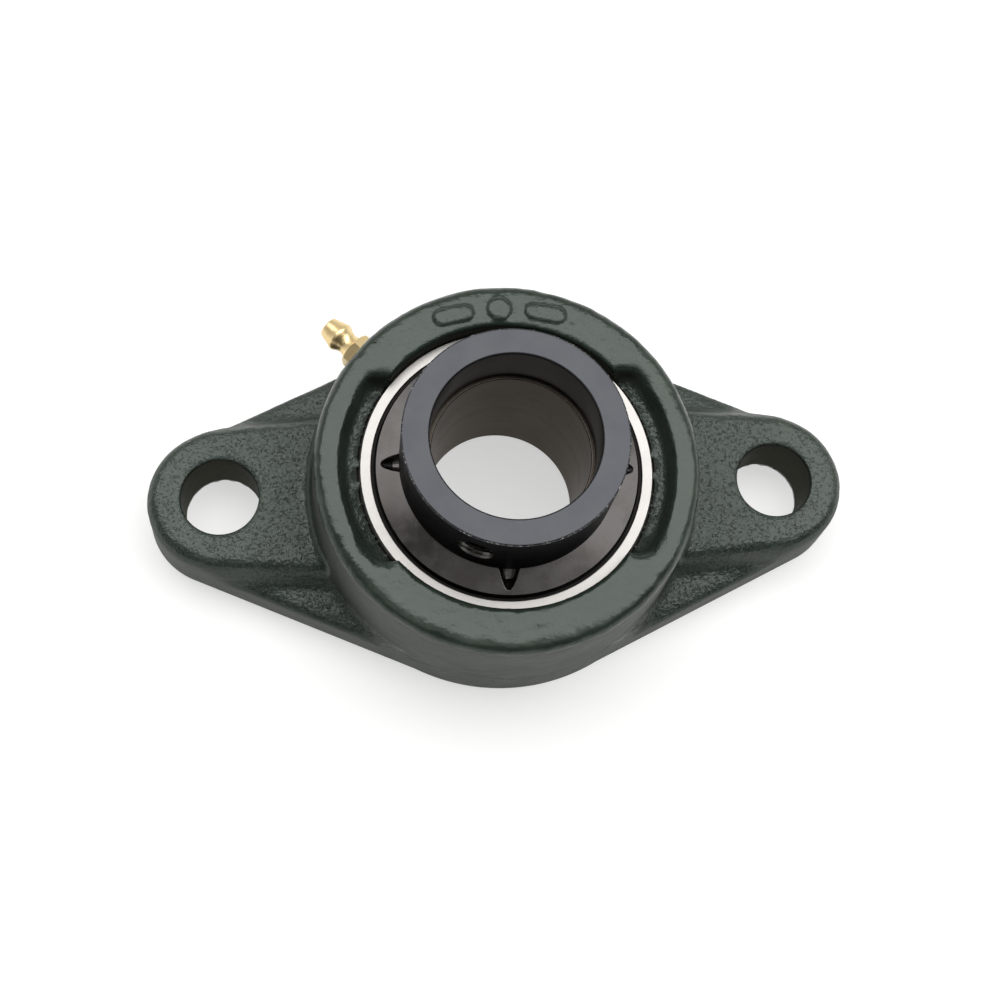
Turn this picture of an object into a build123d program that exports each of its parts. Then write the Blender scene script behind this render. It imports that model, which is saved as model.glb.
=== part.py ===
from build123d import *

import math
import os

# Two-bolt flange bearing unit. Origin: centre of the mounting face, on the shaft axis.
# +Z runs along the shaft away from the mounting face, +X along the line of the two bolt holes.
# Lengths are in millimetres, angles in degrees.

# Housing casting
HOLE_PITCH = 117.0
BOLT_HOLE_R = 8.0
HOLE_EDGE_ROUND = 0.5
FLANGE_HEIGHT = 14.0
WEB_HEIGHT = 9.0
EAR_R = 15.5
FLANGE_WAIST_R = 39.9
PAD_HALF_WIDTH = 14.5
PAD_SPREAD = 0.08
PAD_START = 20.0
PAD_FLANK_WIDTH = 2.5
FLANGE_DRAFT = 2.0
FLANGE_EDGE_ROUND = 2.5
WEB_EDGE_ROUND = 1.8
BOSS_BASE_R = 40.0
BOSS_TOP_R = 38.9
BOSS_EDGE_ROUND = 2.5
BOSS_ROOT_FILLET = 2.7
BOSS_ROOT_INSET = 0.2
HOUSING_HEIGHT = 31.0
CENTRE_HEIGHT = 18.0
CUT_MARGIN = 1.0

# Spherical seat and the bore in front of and behind it
RING_SPHERE_R = 31.0
SEAT_CLEARANCE = 0.03
BORE_R = 29.8
BORE_EDGE_ROUND = 0.7
BACK_RELIEF_R = 33.0
BACK_RELIEF_DEPTH = 5.0
BACK_RELIEF_END = 8.0
BACK_BORE_R = 30.3

# Face recesses with sloping walls to the left and right of the insert
RECESS_TOP_R = 33.8
RECESS_FLOOR_R = 31.1
RECESS_TOP_HALF = 19.6
RECESS_FLOOR_HALF = 18.4
RECESS_FLOOR_Z = 26.3

# Slots behind the seat that let the insert in edge-on
SLOT_CLEARANCE = 0.15
LOAD_SLOT_REACH = RING_SPHERE_R + SLOT_CLEARANCE
LOAD_SLOT_HALF_WIDTH = 9.3

# Plain raised foundry marks on the boss face
MARK_Y = 33.3
MARK_HEIGHT = 0.6
MARK_BAR_LENGTH = 8.0
MARK_BAR_WIDTH = 3.0
MARK_BAR_DROP = 1.2
MARK_BAR_TILT = 12.0
MARK_DOT_R = 2.2
MARK_SPACING = 9.5

# Insert: rings, balls and cage
RING_WIDTH = 18.0
RING_FACE_R = 29.1
RING_CHAMFER = 0.5
SEAL_BORE_R = 27.5
SEAL_STEP_DEPTH = 2.6
OUTER_LAND_R = 26.4
SHAFT_R = 15.875
SHOULDER_R = 19.85
INNER_BACK_Z = 2.2
SHOULDER_END_Z = 30.3
INNER_FRONT_Z = 35.8
BORE_CHAMFER = 0.6
BALL_COUNT = 9
BALL_R = 4.7625
PITCH_R = 23.0
RACE_PLAY = 0.01
RACE_R = 1.04 * BALL_R
CAGE_IN_R = 21.1
CAGE_OUT_R = 25.0
CAGE_SHEET = 0.7
POCKET_R = 4.95
RIVET_R = 0.75
RIVET_HEAD_R = 1.3
RIVET_HEAD_HEIGHT = 0.5
RIVET_PLAY = 0.03

# Relubrication: groove and hole in the outer ring, drilling in the housing
GROOVE_WIDTH = 2.4
GROOVE_DEPTH = 0.4
RING_HOLE_R = 0.8
RING_HOLE_RISE = 4.2
GREASE_ANGLE = 134.5

# Seals and slingers
FIT_GAP = 0.02
CORE_SHEET = 0.55
CORE_IN_R = 21.6
CORE_RIM_HEIGHT = 2.1
LIP_R = 19.95
LIP_WAIST_R = 20.4
LIP_SHOULDER_R = 20.65
LIP_UNDERHANG = 0.2
LIP_SHOULDER_HEIGHT = 1.1
LIP_EDGE_LOW = 1.2
LIP_EDGE_HIGH = 1.7
SLINGER_R = 26.6
SLINGER_SHEET = 0.8
SLINGER_HUB_R = 20.7
SLINGER_HUB_LOW_Z = 26.6
SLINGER_TOP_Z = 29.6
SLINGER_RIM_Z = 27.9
FLUTE_COUNT = 4
FLUTE_ANGLE = -3.0
FLUTE_BASE_R = 2.1
FLUTE_END_R = 0.1
FLUTE_START = 20.3
FLUTE_END = 25.7

# Eccentric locking collar
COLLAR_R = 22.0
COLLAR_BORE_R = 16.6
COLLAR_LOW_Z = 30.6
COLLAR_TOP_Z = 47.2
COLLAR_EDGE = 0.4
ECCENTRICITY = 0.8
STUB_R = 18.6
ECCENTRIC_PLAY = 0.4
ECCENTRIC_DEPTH_Z = 36.1

# Set screw in the collar's wall
SCREW_ANGLE = -112.6
SCREW_Z = 39.5
SCREW_HOLE_R = 3.5
SCREW_PLAY = 0.05
SCREW_TIP_REACH = 16.75
SCREW_CONE_REACH = 18.3
SCREW_END_REACH = 20.7
SCREW_TIP_R = 2.0
SCREW_CUP_R = 1.4
SCREW_CUP_DEPTH = 0.5
SCREW_SOCKET_FLATS = 4.0
SCREW_SOCKET_DEPTH = 2.0
SCREW_HOLE_EDGE = 0.5

# Grease nipple, as reaches from the shaft axis along its own radial line
NIPPLE_SEAT_REACH = 38.7
NIPPLE_SHANK_START = 33.5
NIPPLE_SHANK_R = 2.95
NIPPLE_HOLE_R = 3.0
NIPPLE_SPOT_R = 5.2
NIPPLE_HEX_FLATS = 7.0
NIPPLE_HEX_HEIGHT = 4.1
NIPPLE_COLLAR_R = 3.0
NIPPLE_NECK_R = 2.35
NIPPLE_NECK_REACH = 44.7
NIPPLE_NECK_LENGTH = 0.6
NIPPLE_HEAD_R = 3.2
NIPPLE_HEAD_REACH = 47.0
NIPPLE_HEAD_LENGTH = 0.5
NIPPLE_NOSE_R = 2.25
NIPPLE_TIP_REACH = 50.3
NIPPLE_BORE_R = 1.25
NIPPLE_FEED_R = 0.8
NIPPLE_SPRING_START = 44.0
NIPPLE_BALL_R = 1.1
NIPPLE_BALL_REACH = 48.5
NIPPLE_THROAT_REACH = 49.3
SPRING_WIRE_R = 0.16
SPRING_R = 0.95
SPRING_PITCH = 0.7
SPRING_END_REACH = 47.2
GREASE_DRILL_R = 1.5

CENTRE = Location((0, 0, CENTRE_HEIGHT))
RING_LOW_Z = CENTRE_HEIGHT - RING_WIDTH / 2
RING_HIGH_Z = CENTRE_HEIGHT + RING_WIDTH / 2
ECCENTRIC_ANGLE = SCREW_ANGLE + 180.0


def revolved(points):
    """A solid of revolution about Z from (radius, height) points."""
    return revolve(Plane.XZ * make_face(Polyline(*points, close=True)), Axis.Z)


def disc(radius, low, high):
    """A cylinder on the Z axis between two heights."""
    return Location((0, 0, (low + high) / 2)) * Cylinder(radius, high - low)


def block(low, high):
    """A box between two opposite corners."""
    size = [h - l for l, h in zip(low, high)]
    middle = [(h + l) / 2 for l, h in zip(low, high)]
    return Location(middle) * Box(*size)


def mirrored(shape):
    """The same piece on the other side of the ball row's plane."""
    return mirror(shape, Plane.XY.offset(CENTRE_HEIGHT))


def radial(angle, height):
    """A frame whose local Z points outwards from the shaft axis at this angle and height."""
    outward = Vector(math.cos(math.radians(angle)), math.sin(math.radians(angle)), 0)
    return Plane(origin=(0, 0, height), x_dir=(0, 0, 1), z_dir=outward).location


def along(frame, radius, low, high):
    """A cylinder on a frame's local Z between two reaches."""
    return frame * disc(radius, low, high)


def off_axis(distance, angle):
    """A shift away from the shaft axis."""
    turn = math.radians(angle)
    return Location((distance * math.cos(turn), distance * math.sin(turn), 0))


def top_edges(shape, height):
    """The edges that lie wholly at one height."""
    return [e for e in shape.edges() if abs(e.bounding_box().min.Z - height) < 1e-4
            and abs(e.bounding_box().max.Z - height) < 1e-4]


def rims(shape, height, radius):
    """The circular edges of one radius at one height."""
    return [e for e in top_edges(shape, height)
            if e.geom_type == GeomType.CIRCLE and abs(e.radius - radius) < 1e-3]


def flange_outline():
    """The flange's outline: a circle just inside the boss, the two ear circles and their tangents."""
    circles = Circle(FLANGE_WAIST_R).edges()
    for side in (-1, 1):
        circles += (Location((side * HOLE_PITCH / 2, 0)) * Circle(EAR_R)).edges()
    return make_hull(circles)


def pad_section(x):
    """The raised pad's cross-section at a distance from the shaft axis, above the webs."""
    half = PAD_HALF_WIDTH + PAD_SPREAD * (HOLE_PITCH / 2 - abs(x))
    foot = half + PAD_FLANK_WIDTH
    return Plane.YZ.offset(x) * make_face(Polyline((-foot, WEB_HEIGHT), (foot, WEB_HEIGHT),
                                                   (half, FLANGE_HEIGHT), (-half, FLANGE_HEIGHT), close=True))


def pad(full, side, reach):
    """The raised pad on one ear, rounded along its top; its inner end lies inside the boss."""
    made = full & loft([pad_section(side * PAD_START), pad_section(side * reach)])
    rim = [e for e in top_edges(made, FLANGE_HEIGHT) if abs(e.center().X) > PAD_START + CUT_MARGIN]
    return fillet(rim, FLANGE_EDGE_ROUND)


def flange_plate():
    """The flange: low side webs, a raised pad on each ear and the boss's root radii."""
    full = extrude(flange_outline(), FLANGE_HEIGHT, taper=FLANGE_DRAFT)
    reach = 0.75 * HOLE_PITCH
    webs = full & block((-reach, -reach, 0), (reach, reach, WEB_HEIGHT))
    webs = fillet(top_edges(webs, WEB_HEIGHT), WEB_EDGE_ROUND)
    foot = PAD_HALF_WIDTH + PAD_FLANK_WIDTH
    low = full & block((-reach, -foot, 0), (reach, foot, WEB_HEIGHT))
    tall = extrude(flange_outline(), HOUSING_HEIGHT, taper=FLANGE_DRAFT)
    pad_root = root_fillet(FLANGE_HEIGHT)
    pad_root &= block((-reach, -PAD_HALF_WIDTH, 0), (reach, PAD_HALF_WIDTH, reach))
    web_root = root_fillet(WEB_HEIGHT) & tall
    return webs + low + pad(full, -1, reach) + pad(full, 1, reach) + web_root + pad_root


def boss():
    """The round boss, drafted, with a rounded edge at its face."""
    cone = revolved([(0, 0), (BOSS_BASE_R, 0), (BOSS_TOP_R, HOUSING_HEIGHT), (0, HOUSING_HEIGHT)])
    return fillet(top_edges(cone, HOUSING_HEIGHT), BOSS_EDGE_ROUND)


def root_fillet(height):
    """The ring of casting radius where the boss stands on a flat at this height, let into its wall."""
    wall = BOSS_BASE_R - (BOSS_BASE_R - BOSS_TOP_R) * height / HOUSING_HEIGHT - BOSS_ROOT_INSET
    foot = (wall + BOSS_ROOT_FILLET, height)
    head = (wall, height + BOSS_ROOT_FILLET)
    bend = BOSS_ROOT_FILLET * (1 - math.sqrt(0.5))
    curve = ThreePointArc(foot, (wall + bend, height + bend), head)
    rest = Polyline(head, (SEAL_BORE_R, head[1]), (SEAL_BORE_R, height), foot)
    return revolve(Plane.XZ * make_face(curve + rest), Axis.Z)


def seat_cut():
    """The space inside the boss: spherical seat, front bore, cored relief and loading slots behind."""
    top = HOUSING_HEIGHT + CUT_MARGIN
    bore = revolved([(0, -CUT_MARGIN), (BACK_RELIEF_R, -CUT_MARGIN), (BACK_RELIEF_R, BACK_RELIEF_DEPTH),
                     (BACK_BORE_R, BACK_RELIEF_END), (BACK_BORE_R, CENTRE_HEIGHT), (BORE_R, CENTRE_HEIGHT),
                     (BORE_R, top), (0, top)])
    slots = block((-LOAD_SLOT_REACH, -LOAD_SLOT_HALF_WIDTH, 0),
                  (LOAD_SLOT_REACH, LOAD_SLOT_HALF_WIDTH, CENTRE_HEIGHT))
    return bore + CENTRE * Sphere(RING_SPHERE_R + SEAT_CLEARANCE) + slots


def recess_cut():
    """The two shallow face recesses."""
    top = HOUSING_HEIGHT + CUT_MARGIN
    ring = revolved([(0, RECESS_FLOOR_Z), (RECESS_FLOOR_R, RECESS_FLOOR_Z), (RECESS_TOP_R, HOUSING_HEIGHT),
                     (RECESS_TOP_R, top), (0, top)])
    section = make_face(Polyline((-RECESS_FLOOR_HALF, RECESS_FLOOR_Z), (RECESS_FLOOR_HALF, RECESS_FLOOR_Z),
                                 (RECESS_TOP_HALF, HOUSING_HEIGHT), (RECESS_TOP_HALF, top),
                                 (-RECESS_TOP_HALF, top), (-RECESS_TOP_HALF, HOUSING_HEIGHT), close=True))
    return ring & extrude(Plane.YZ.offset(-BOSS_BASE_R) * section, 2 * BOSS_BASE_R)


def foundry_marks():
    """A plain dot between two plain bars, raised on the boss face."""
    marks = [Location((0, MARK_Y)) * Circle(MARK_DOT_R)]
    for side in (-1, 1):
        place = Location((side * MARK_SPACING, MARK_Y - MARK_BAR_DROP), -side * MARK_BAR_TILT)
        marks += [place * SlotOverall(MARK_BAR_LENGTH, MARK_BAR_WIDTH)]
    low = HOUSING_HEIGHT - MARK_HEIGHT
    return [extrude(Location((0, 0, low)) * mark, 2 * MARK_HEIGHT) for mark in marks]


def housing():
    """The one-piece casting with its machined seat, bolt holes and nipple hole."""
    body = flange_plate() + boss()
    for mark in foundry_marks():
        body += mark
    for side in (-1, 1):
        hole = disc(BOLT_HOLE_R, -CUT_MARGIN, FLANGE_HEIGHT + CUT_MARGIN)
        body -= Location((side * HOLE_PITCH / 2, 0, 0)) * hole
    body = fillet(rims(body, FLANGE_HEIGHT, BOLT_HOLE_R), HOLE_EDGE_ROUND)
    body -= seat_cut()
    body = fillet(rims(body, HOUSING_HEIGHT, BORE_R), BORE_EDGE_ROUND) - recess_cut()
    frame = radial(GREASE_ANGLE, CENTRE_HEIGHT)
    body -= along(frame, NIPPLE_HOLE_R, NIPPLE_SHANK_START, BOSS_BASE_R + CUT_MARGIN)
    body -= along(frame, NIPPLE_SPOT_R, NIPPLE_SEAT_REACH, BOSS_BASE_R + CUT_MARGIN)
    return body - along(frame, GREASE_DRILL_R, BORE_R - CUT_MARGIN, NIPPLE_SHANK_START + CUT_MARGIN)


def outer_ring():
    """The outer ring: spherical outside, race inside, a seal step at each end."""
    edge = RING_FACE_R + RING_CHAMFER
    wide = RING_SPHERE_R + CUT_MARGIN
    step_high = RING_HIGH_Z - SEAL_STEP_DEPTH
    step_low = RING_LOW_Z + SEAL_STEP_DEPTH
    ring = revolved([
        (SEAL_BORE_R, RING_LOW_Z), (RING_FACE_R, RING_LOW_Z), (edge, RING_LOW_Z + RING_CHAMFER),
        (wide, RING_LOW_Z + RING_CHAMFER), (wide, RING_HIGH_Z - RING_CHAMFER),
        (edge, RING_HIGH_Z - RING_CHAMFER), (RING_FACE_R, RING_HIGH_Z), (SEAL_BORE_R, RING_HIGH_Z),
        (SEAL_BORE_R, step_high), (OUTER_LAND_R, step_high), (OUTER_LAND_R, step_low),
        (SEAL_BORE_R, step_low),
    ])
    ring &= CENTRE * Sphere(RING_SPHERE_R)
    ring -= CENTRE * Torus(PITCH_R + BALL_R + RACE_PLAY - RACE_R, RACE_R)
    hole_z = CENTRE_HEIGHT + RING_HOLE_RISE
    groove_low = hole_z - GROOVE_WIDTH / 2
    groove_in = math.sqrt(RING_SPHERE_R ** 2 - (RING_HOLE_RISE + GROOVE_WIDTH / 2) ** 2) - GROOVE_DEPTH
    ring -= revolved([(groove_in, groove_low), (wide, groove_low),
                      (wide, groove_low + GROOVE_WIDTH), (groove_in, groove_low + GROOVE_WIDTH)])
    return ring - along(radial(GREASE_ANGLE, hole_z), RING_HOLE_R, OUTER_LAND_R - CUT_MARGIN, wide)


def inner_ring():
    """The inner ring: race, seal shoulders and the eccentric stub that the collar grips."""
    c = BORE_CHAMFER
    body = revolved([(SHAFT_R - c, INNER_BACK_Z), (SHOULDER_R - c, INNER_BACK_Z),
                     (SHOULDER_R, INNER_BACK_Z + c), (SHOULDER_R, SHOULDER_END_Z),
                     (SHAFT_R - c, SHOULDER_END_Z)])
    body += off_axis(ECCENTRICITY, ECCENTRIC_ANGLE) * disc(STUB_R, SHOULDER_END_Z - CUT_MARGIN, INNER_FRONT_Z)
    low = INNER_BACK_Z - CUT_MARGIN
    high = INNER_FRONT_Z + CUT_MARGIN
    mouth = SHAFT_R + c + CUT_MARGIN
    body -= revolved([(0, low), (mouth, low), (SHAFT_R, INNER_BACK_Z + c), (SHAFT_R, INNER_FRONT_Z - c),
                      (mouth, high), (0, high)])
    return body - CENTRE * Torus(PITCH_R - BALL_R - RACE_PLAY + RACE_R, RACE_R)


def ball_place(index):
    """The centre of one ball, or of the gap after it at half steps."""
    return off_axis(PITCH_R, index * 360.0 / BALL_COUNT) * CENTRE


def cage_half():
    """The front half of the pressed ribbon cage."""
    band = disc(CAGE_OUT_R, CENTRE_HEIGHT, RING_HIGH_Z) - disc(CAGE_IN_R, CENTRE_HEIGHT, RING_HIGH_Z)
    half = band & disc(CAGE_OUT_R, CENTRE_HEIGHT, CENTRE_HEIGHT + CAGE_SHEET)
    for index in range(BALL_COUNT):
        half += band & (ball_place(index) * Sphere(POCKET_R + CAGE_SHEET))
    for index in range(BALL_COUNT):
        half -= ball_place(index) * Sphere(POCKET_R)
        half -= ball_place(index + 0.5) * Cylinder(RIVET_R + RIVET_PLAY, RING_WIDTH)
    return half


def cage_rivets():
    """The rivets that hold the two cage halves together, one between each pair of balls."""
    low = CAGE_SHEET
    high = CAGE_SHEET + RIVET_HEAD_HEIGHT
    rivet = disc(RIVET_R, -high, high) + disc(RIVET_HEAD_R, low, high) + disc(RIVET_HEAD_R, -high, -low)
    return [ball_place(index + 0.5) * rivet for index in range(BALL_COUNT)]


def seal_core():
    """The pressed steel core of the front seal, seated in the outer ring's step."""
    low = RING_HIGH_Z - SEAL_STEP_DEPTH + FIT_GAP
    rim = SEAL_BORE_R - FIT_GAP
    high = low + CORE_RIM_HEIGHT
    return revolved([(CORE_IN_R, low), (rim, low), (rim, high), (rim - CORE_SHEET, high),
                     (rim - CORE_SHEET, low + CORE_SHEET), (CORE_IN_R, low + CORE_SHEET)])


def seal_lip():
    """The rubber lip at the front core's inner edge, running close to the inner ring."""
    outer = CORE_IN_R - FIT_GAP
    low = RING_HIGH_Z - SEAL_STEP_DEPTH - LIP_UNDERHANG
    shoulder = low + LIP_SHOULDER_HEIGHT
    return revolved([(outer, low), (outer, shoulder), (LIP_SHOULDER_R, shoulder),
                     (LIP_R, low + LIP_EDGE_HIGH), (LIP_R, low + LIP_EDGE_LOW), (LIP_WAIST_R, low)])


def slinger():
    """The front slinger: a dished disc on a short hub, with tapered flutes pressed into its sheet."""
    hub_in = SHOULDER_R + FIT_GAP
    top = [(SLINGER_R, SLINGER_RIM_Z), (SLINGER_HUB_R, SLINGER_TOP_Z), (hub_in, SLINGER_TOP_Z)]
    under = [(SLINGER_HUB_R, SLINGER_TOP_Z - SLINGER_SHEET), (SLINGER_R, SLINGER_RIM_Z - SLINGER_SHEET)]
    body = revolved([(hub_in, SLINGER_HUB_LOW_Z), (SLINGER_HUB_R, SLINGER_HUB_LOW_Z)] + under + top)
    below = revolved([(hub_in, SLINGER_HUB_LOW_Z), (SLINGER_R, SLINGER_HUB_LOW_Z)] + top)
    fall = (SLINGER_TOP_Z - SLINGER_RIM_Z) / (SLINGER_R - SLINGER_HUB_R)
    length = FLUTE_END - FLUTE_START
    middle = (FLUTE_START + FLUTE_END) / 2
    height = SLINGER_TOP_Z - (middle - SLINGER_HUB_R) * fall
    for index in range(FLUTE_COUNT):
        frame = radial(FLUTE_ANGLE + index * 360.0 / FLUTE_COUNT, height)
        lying = frame * Location((0, 0, middle), (0, -math.degrees(math.atan(fall)), 0))
        back = lying * Cone(FLUTE_BASE_R + SLINGER_SHEET, FLUTE_END_R + SLINGER_SHEET, length)
        body += back & below
        body -= lying * Cone(FLUTE_BASE_R, FLUTE_END_R, length)
    return body


def collar():
    """The locking collar with its eccentric counterbore and the set screw's hole."""
    c = COLLAR_EDGE
    body = revolved([(COLLAR_BORE_R, COLLAR_LOW_Z), (COLLAR_R - c, COLLAR_LOW_Z),
                     (COLLAR_R, COLLAR_LOW_Z + c), (COLLAR_R, COLLAR_TOP_Z - c), (COLLAR_R - c, COLLAR_TOP_Z),
                     (COLLAR_BORE_R + c, COLLAR_TOP_Z), (COLLAR_BORE_R, COLLAR_TOP_Z - c)])
    recess = disc(STUB_R + ECCENTRIC_PLAY, COLLAR_LOW_Z - CUT_MARGIN, ECCENTRIC_DEPTH_Z)
    body -= off_axis(ECCENTRICITY, ECCENTRIC_ANGLE) * recess
    frame = radial(SCREW_ANGLE, SCREW_Z)
    body -= along(frame, SCREW_HOLE_R, COLLAR_BORE_R - CUT_MARGIN, COLLAR_R + CUT_MARGIN)
    mouth = Cone(SCREW_HOLE_R, SCREW_HOLE_R + 2 * SCREW_HOLE_EDGE, 2 * SCREW_HOLE_EDGE)
    return body - frame * Location((0, 0, COLLAR_R)) * mouth


def set_screw():
    """The cup-point socket screw in the collar, backed off clear of the shaft."""
    frame = radial(SCREW_ANGLE, SCREW_Z)
    radius = SCREW_HOLE_R - SCREW_PLAY
    screw = revolved([(0, SCREW_TIP_REACH + SCREW_CUP_DEPTH), (SCREW_CUP_R, SCREW_TIP_REACH),
                      (SCREW_TIP_R, SCREW_TIP_REACH), (radius, SCREW_CONE_REACH), (radius, SCREW_END_REACH),
                      (0, SCREW_END_REACH)])
    hexagon = RegularPolygon(SCREW_SOCKET_FLATS / 2, 6, major_radius=False)
    socket = extrude(Location((0, 0, SCREW_END_REACH - SCREW_SOCKET_DEPTH)) * hexagon, SCREW_SOCKET_DEPTH)
    return frame * (screw - socket)


def nipple_body():
    """The grease nipple's body: shank, hexagon, neck and coupling head, bored through."""
    hex_end = NIPPLE_SEAT_REACH + NIPPLE_HEX_HEIGHT
    tail = revolved([(0, NIPPLE_SHANK_START), (NIPPLE_SHANK_R, NIPPLE_SHANK_START),
                     (NIPPLE_SHANK_R, NIPPLE_SEAT_REACH), (0, NIPPLE_SEAT_REACH)])
    hexagon = RegularPolygon(NIPPLE_HEX_FLATS / 2, 6, major_radius=False)
    nut = extrude(Location((0, 0, NIPPLE_SEAT_REACH)) * hexagon, NIPPLE_HEX_HEIGHT)
    neck_start = NIPPLE_NECK_REACH - NIPPLE_NECK_LENGTH
    head_start = NIPPLE_HEAD_REACH - NIPPLE_HEAD_LENGTH
    head = revolved([(0, hex_end), (NIPPLE_COLLAR_R, hex_end), (NIPPLE_NECK_R, neck_start),
                     (NIPPLE_NECK_R, NIPPLE_NECK_REACH), (NIPPLE_HEAD_R, head_start),
                     (NIPPLE_HEAD_R, NIPPLE_HEAD_REACH), (NIPPLE_NOSE_R, NIPPLE_TIP_REACH),
                     (0, NIPPLE_TIP_REACH)])
    body = tail + nut + head
    body -= disc(NIPPLE_FEED_R, NIPPLE_SHANK_START - CUT_MARGIN, NIPPLE_TIP_REACH + CUT_MARGIN)
    body -= disc(NIPPLE_BORE_R, NIPPLE_SPRING_START, NIPPLE_THROAT_REACH)
    return radial(GREASE_ANGLE, CENTRE_HEIGHT) * body


def nipple_ball():
    """The check ball just behind the nipple's throat."""
    place = Location((0, 0, NIPPLE_BALL_REACH))
    return radial(GREASE_ANGLE, CENTRE_HEIGHT) * place * Sphere(NIPPLE_BALL_R)


def nipple_spring():
    """The small coil spring that holds the check ball up."""
    start = NIPPLE_SPRING_START + 2 * SPRING_WIRE_R
    length = SPRING_END_REACH - SPRING_WIRE_R - start
    path = Helix(SPRING_PITCH, length, SPRING_R)
    wire = Plane(origin=path @ 0, z_dir=path % 0) * Circle(SPRING_WIRE_R)
    coil = sweep(wire, path=path, is_frenet=True)
    return radial(GREASE_ANGLE, CENTRE_HEIGHT) * Location((0, 0, start)) * coil


def write(name, shape):
    """Write one node; a list of solids is written as one group."""
    if isinstance(shape, list):
        shape = Compound(children=[s.solid() for s in shape])
    export_step(shape, f"parts/{name}.step")


os.makedirs("parts", exist_ok=True)

write("housing", housing())
write("outer_ring", outer_ring())
write("inner_ring", inner_ring())
for number in range(BALL_COUNT):
    write(f"ball_{number + 1}", ball_place(number) * Sphere(BALL_R))
front_cage = cage_half()
write("cage_front_half", front_cage)
write("cage_rear_half", mirrored(front_cage))
write("cage_rivets", cage_rivets())
for name, piece in (("seal_core", seal_core()), ("seal_lip", seal_lip()), ("slinger", slinger())):
    write(f"front_{name}", piece)
    write(f"rear_{name}", mirrored(piece))
write("eccentric_collar", collar())
write("set_screw", set_screw())
write("grease_nipple_body", nipple_body())
write("nipple_check_ball", nipple_ball())
write("nipple_spring", nipple_spring())
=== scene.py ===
import math
from types import SimpleNamespace

import bmesh
import bpy
import numpy as np
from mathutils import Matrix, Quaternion, Vector


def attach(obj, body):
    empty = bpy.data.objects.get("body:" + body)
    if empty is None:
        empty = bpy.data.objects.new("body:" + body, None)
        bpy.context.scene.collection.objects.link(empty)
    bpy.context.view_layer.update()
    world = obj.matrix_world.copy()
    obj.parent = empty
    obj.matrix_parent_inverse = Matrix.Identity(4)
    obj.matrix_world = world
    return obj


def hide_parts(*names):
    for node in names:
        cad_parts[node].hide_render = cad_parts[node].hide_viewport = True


# Two-bolt flange bearing unit. Sizes are in mm where nothing else is said, and MM turns them into metres.
# Origin: centre of the mounting face on the shaft axis, +Z out along the shaft, +X along the bolt holes.
MM = 0.001

# Camera: place, the point it looks at, its roll and its lens
CAMERA_PLACE = (-32.91, -98.37, 324.02)
CAMERA_AIM = (-0.95, -3.83, 18.0)
CAMERA_ROLL = 16.01
CAMERA_LENS = 56.07

# Floor and the two softboxes, in metres (the floor lies a hair below the mounting face)
FLOOR_WIDTH = 6.0
FLOOR_GAP = 0.0002
OVERHEAD_PLACE = (0.09, 0.33, 0.95)
OVERHEAD_SIZE = (1.9, 0.8)
OVERHEAD_RADIANCE = 3.2
FILL_PLACE = (0.05, -0.32, 0.98)
FILL_SIZE = (1.6, 0.42)
FILL_RADIANCE = 0.75

# Housing casting
HOLE_PITCH = 117.0
BOLT_HOLE_R = 8.0
FLANGE_HEIGHT = 14.0
WEB_HEIGHT = 9.0
HOUSING_HEIGHT = 31.0
CENTRE_HEIGHT = 18.0
MARK_HEIGHT = 0.6
BOSS_R = 40.0
FLANGE_WAIST_R = 39.9
EAR_R = 15.5
FOOT_CHAMFER = 0.25
FOOT_DRAFT = 0.03
FOOT_ROW = 1.0
BORE_R = 29.8
SEAT_SPHERE_R = 31.25
RECESS_FLOOR_Z = 26.3
RECESS_FLOOR_R = 31.1
RECESS_FLOOR_HALF = 18.4
RECESS_FLOOR_SPREAD = 1.4
RECESS_TOP_R = 33.8
RECESS_TOP_HALF = 19.6
HOLE_CHAMFER = 0.35
CAST_VOXEL = 0.565
MACHINED_REACH = 0.4

# How far each round of smoothing pulls: for the voxels' steps, the pads' roots and the recesses' ends
VOXEL_EVENING = (0.52, -0.54) * 6
ROOT_SOFTENING = (0.5,) * 14
END_ROUNDING = (0.5,) * 26

# Lumps in the casting's skin: height, size across and offset into the noise, in mm
BROAD_LUMPS = (0.07, 6.5, 0.0)
SAND_LUMPS = (0.06, 2.6, 17.3)
FINE_LUMPS = (0.07, 1.25, 31.7)
EDGE_LUMPS = (0.11, 1.9, 5.1)
FLOOR_LUMPS = (0.045, 1.3, 9.4)

# Insert
RING_SPHERE_R = 31.0
RING_LOW_Z = 9.0
RING_HIGH_Z = 27.0
RING_FACE_R = 29.1
RING_EDGE = 0.45
RING_EDGE_DROP = 0.2
SEAL_BORE_R = 27.5
SEAL_STEP_DEPTH = 2.6
OUTER_LAND_R = 26.4
BALL_R = 4.7625
PITCH_R = 23.0
RACE_R = 4.953
RACE_PLAY = 0.04
SHAFT_R = 15.875
SHOULDER_R = 19.85
INNER_BACK_Z = 2.2
SHOULDER_END_Z = 30.3
INNER_FRONT_Z = 35.8
STUB_R = 18.6
ECCENTRICITY = 0.8
ECCENTRIC_PLAY = 0.4
ECCENTRIC_DEPTH_Z = 36.1

# Slingers and the flutes pressed into them
SLINGER_HUB_IN = 19.87
SLINGER_HUB_R = 20.7
SLINGER_HUB_LOW_Z = 26.6
SLINGER_R = 26.6
SLINGER_TOP_Z = 29.6
SLINGER_RIM_Z = 27.9
SLINGER_SHEET = 0.8
FLUTE_ANGLE = -3.0
FLUTE_COUNT = 4
FLUTE_START = 21.5
FLUTE_END = 25.6
FLUTE_HALF_WIDTH = 2.0
FLUTE_DEPTH = 1.5

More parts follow.
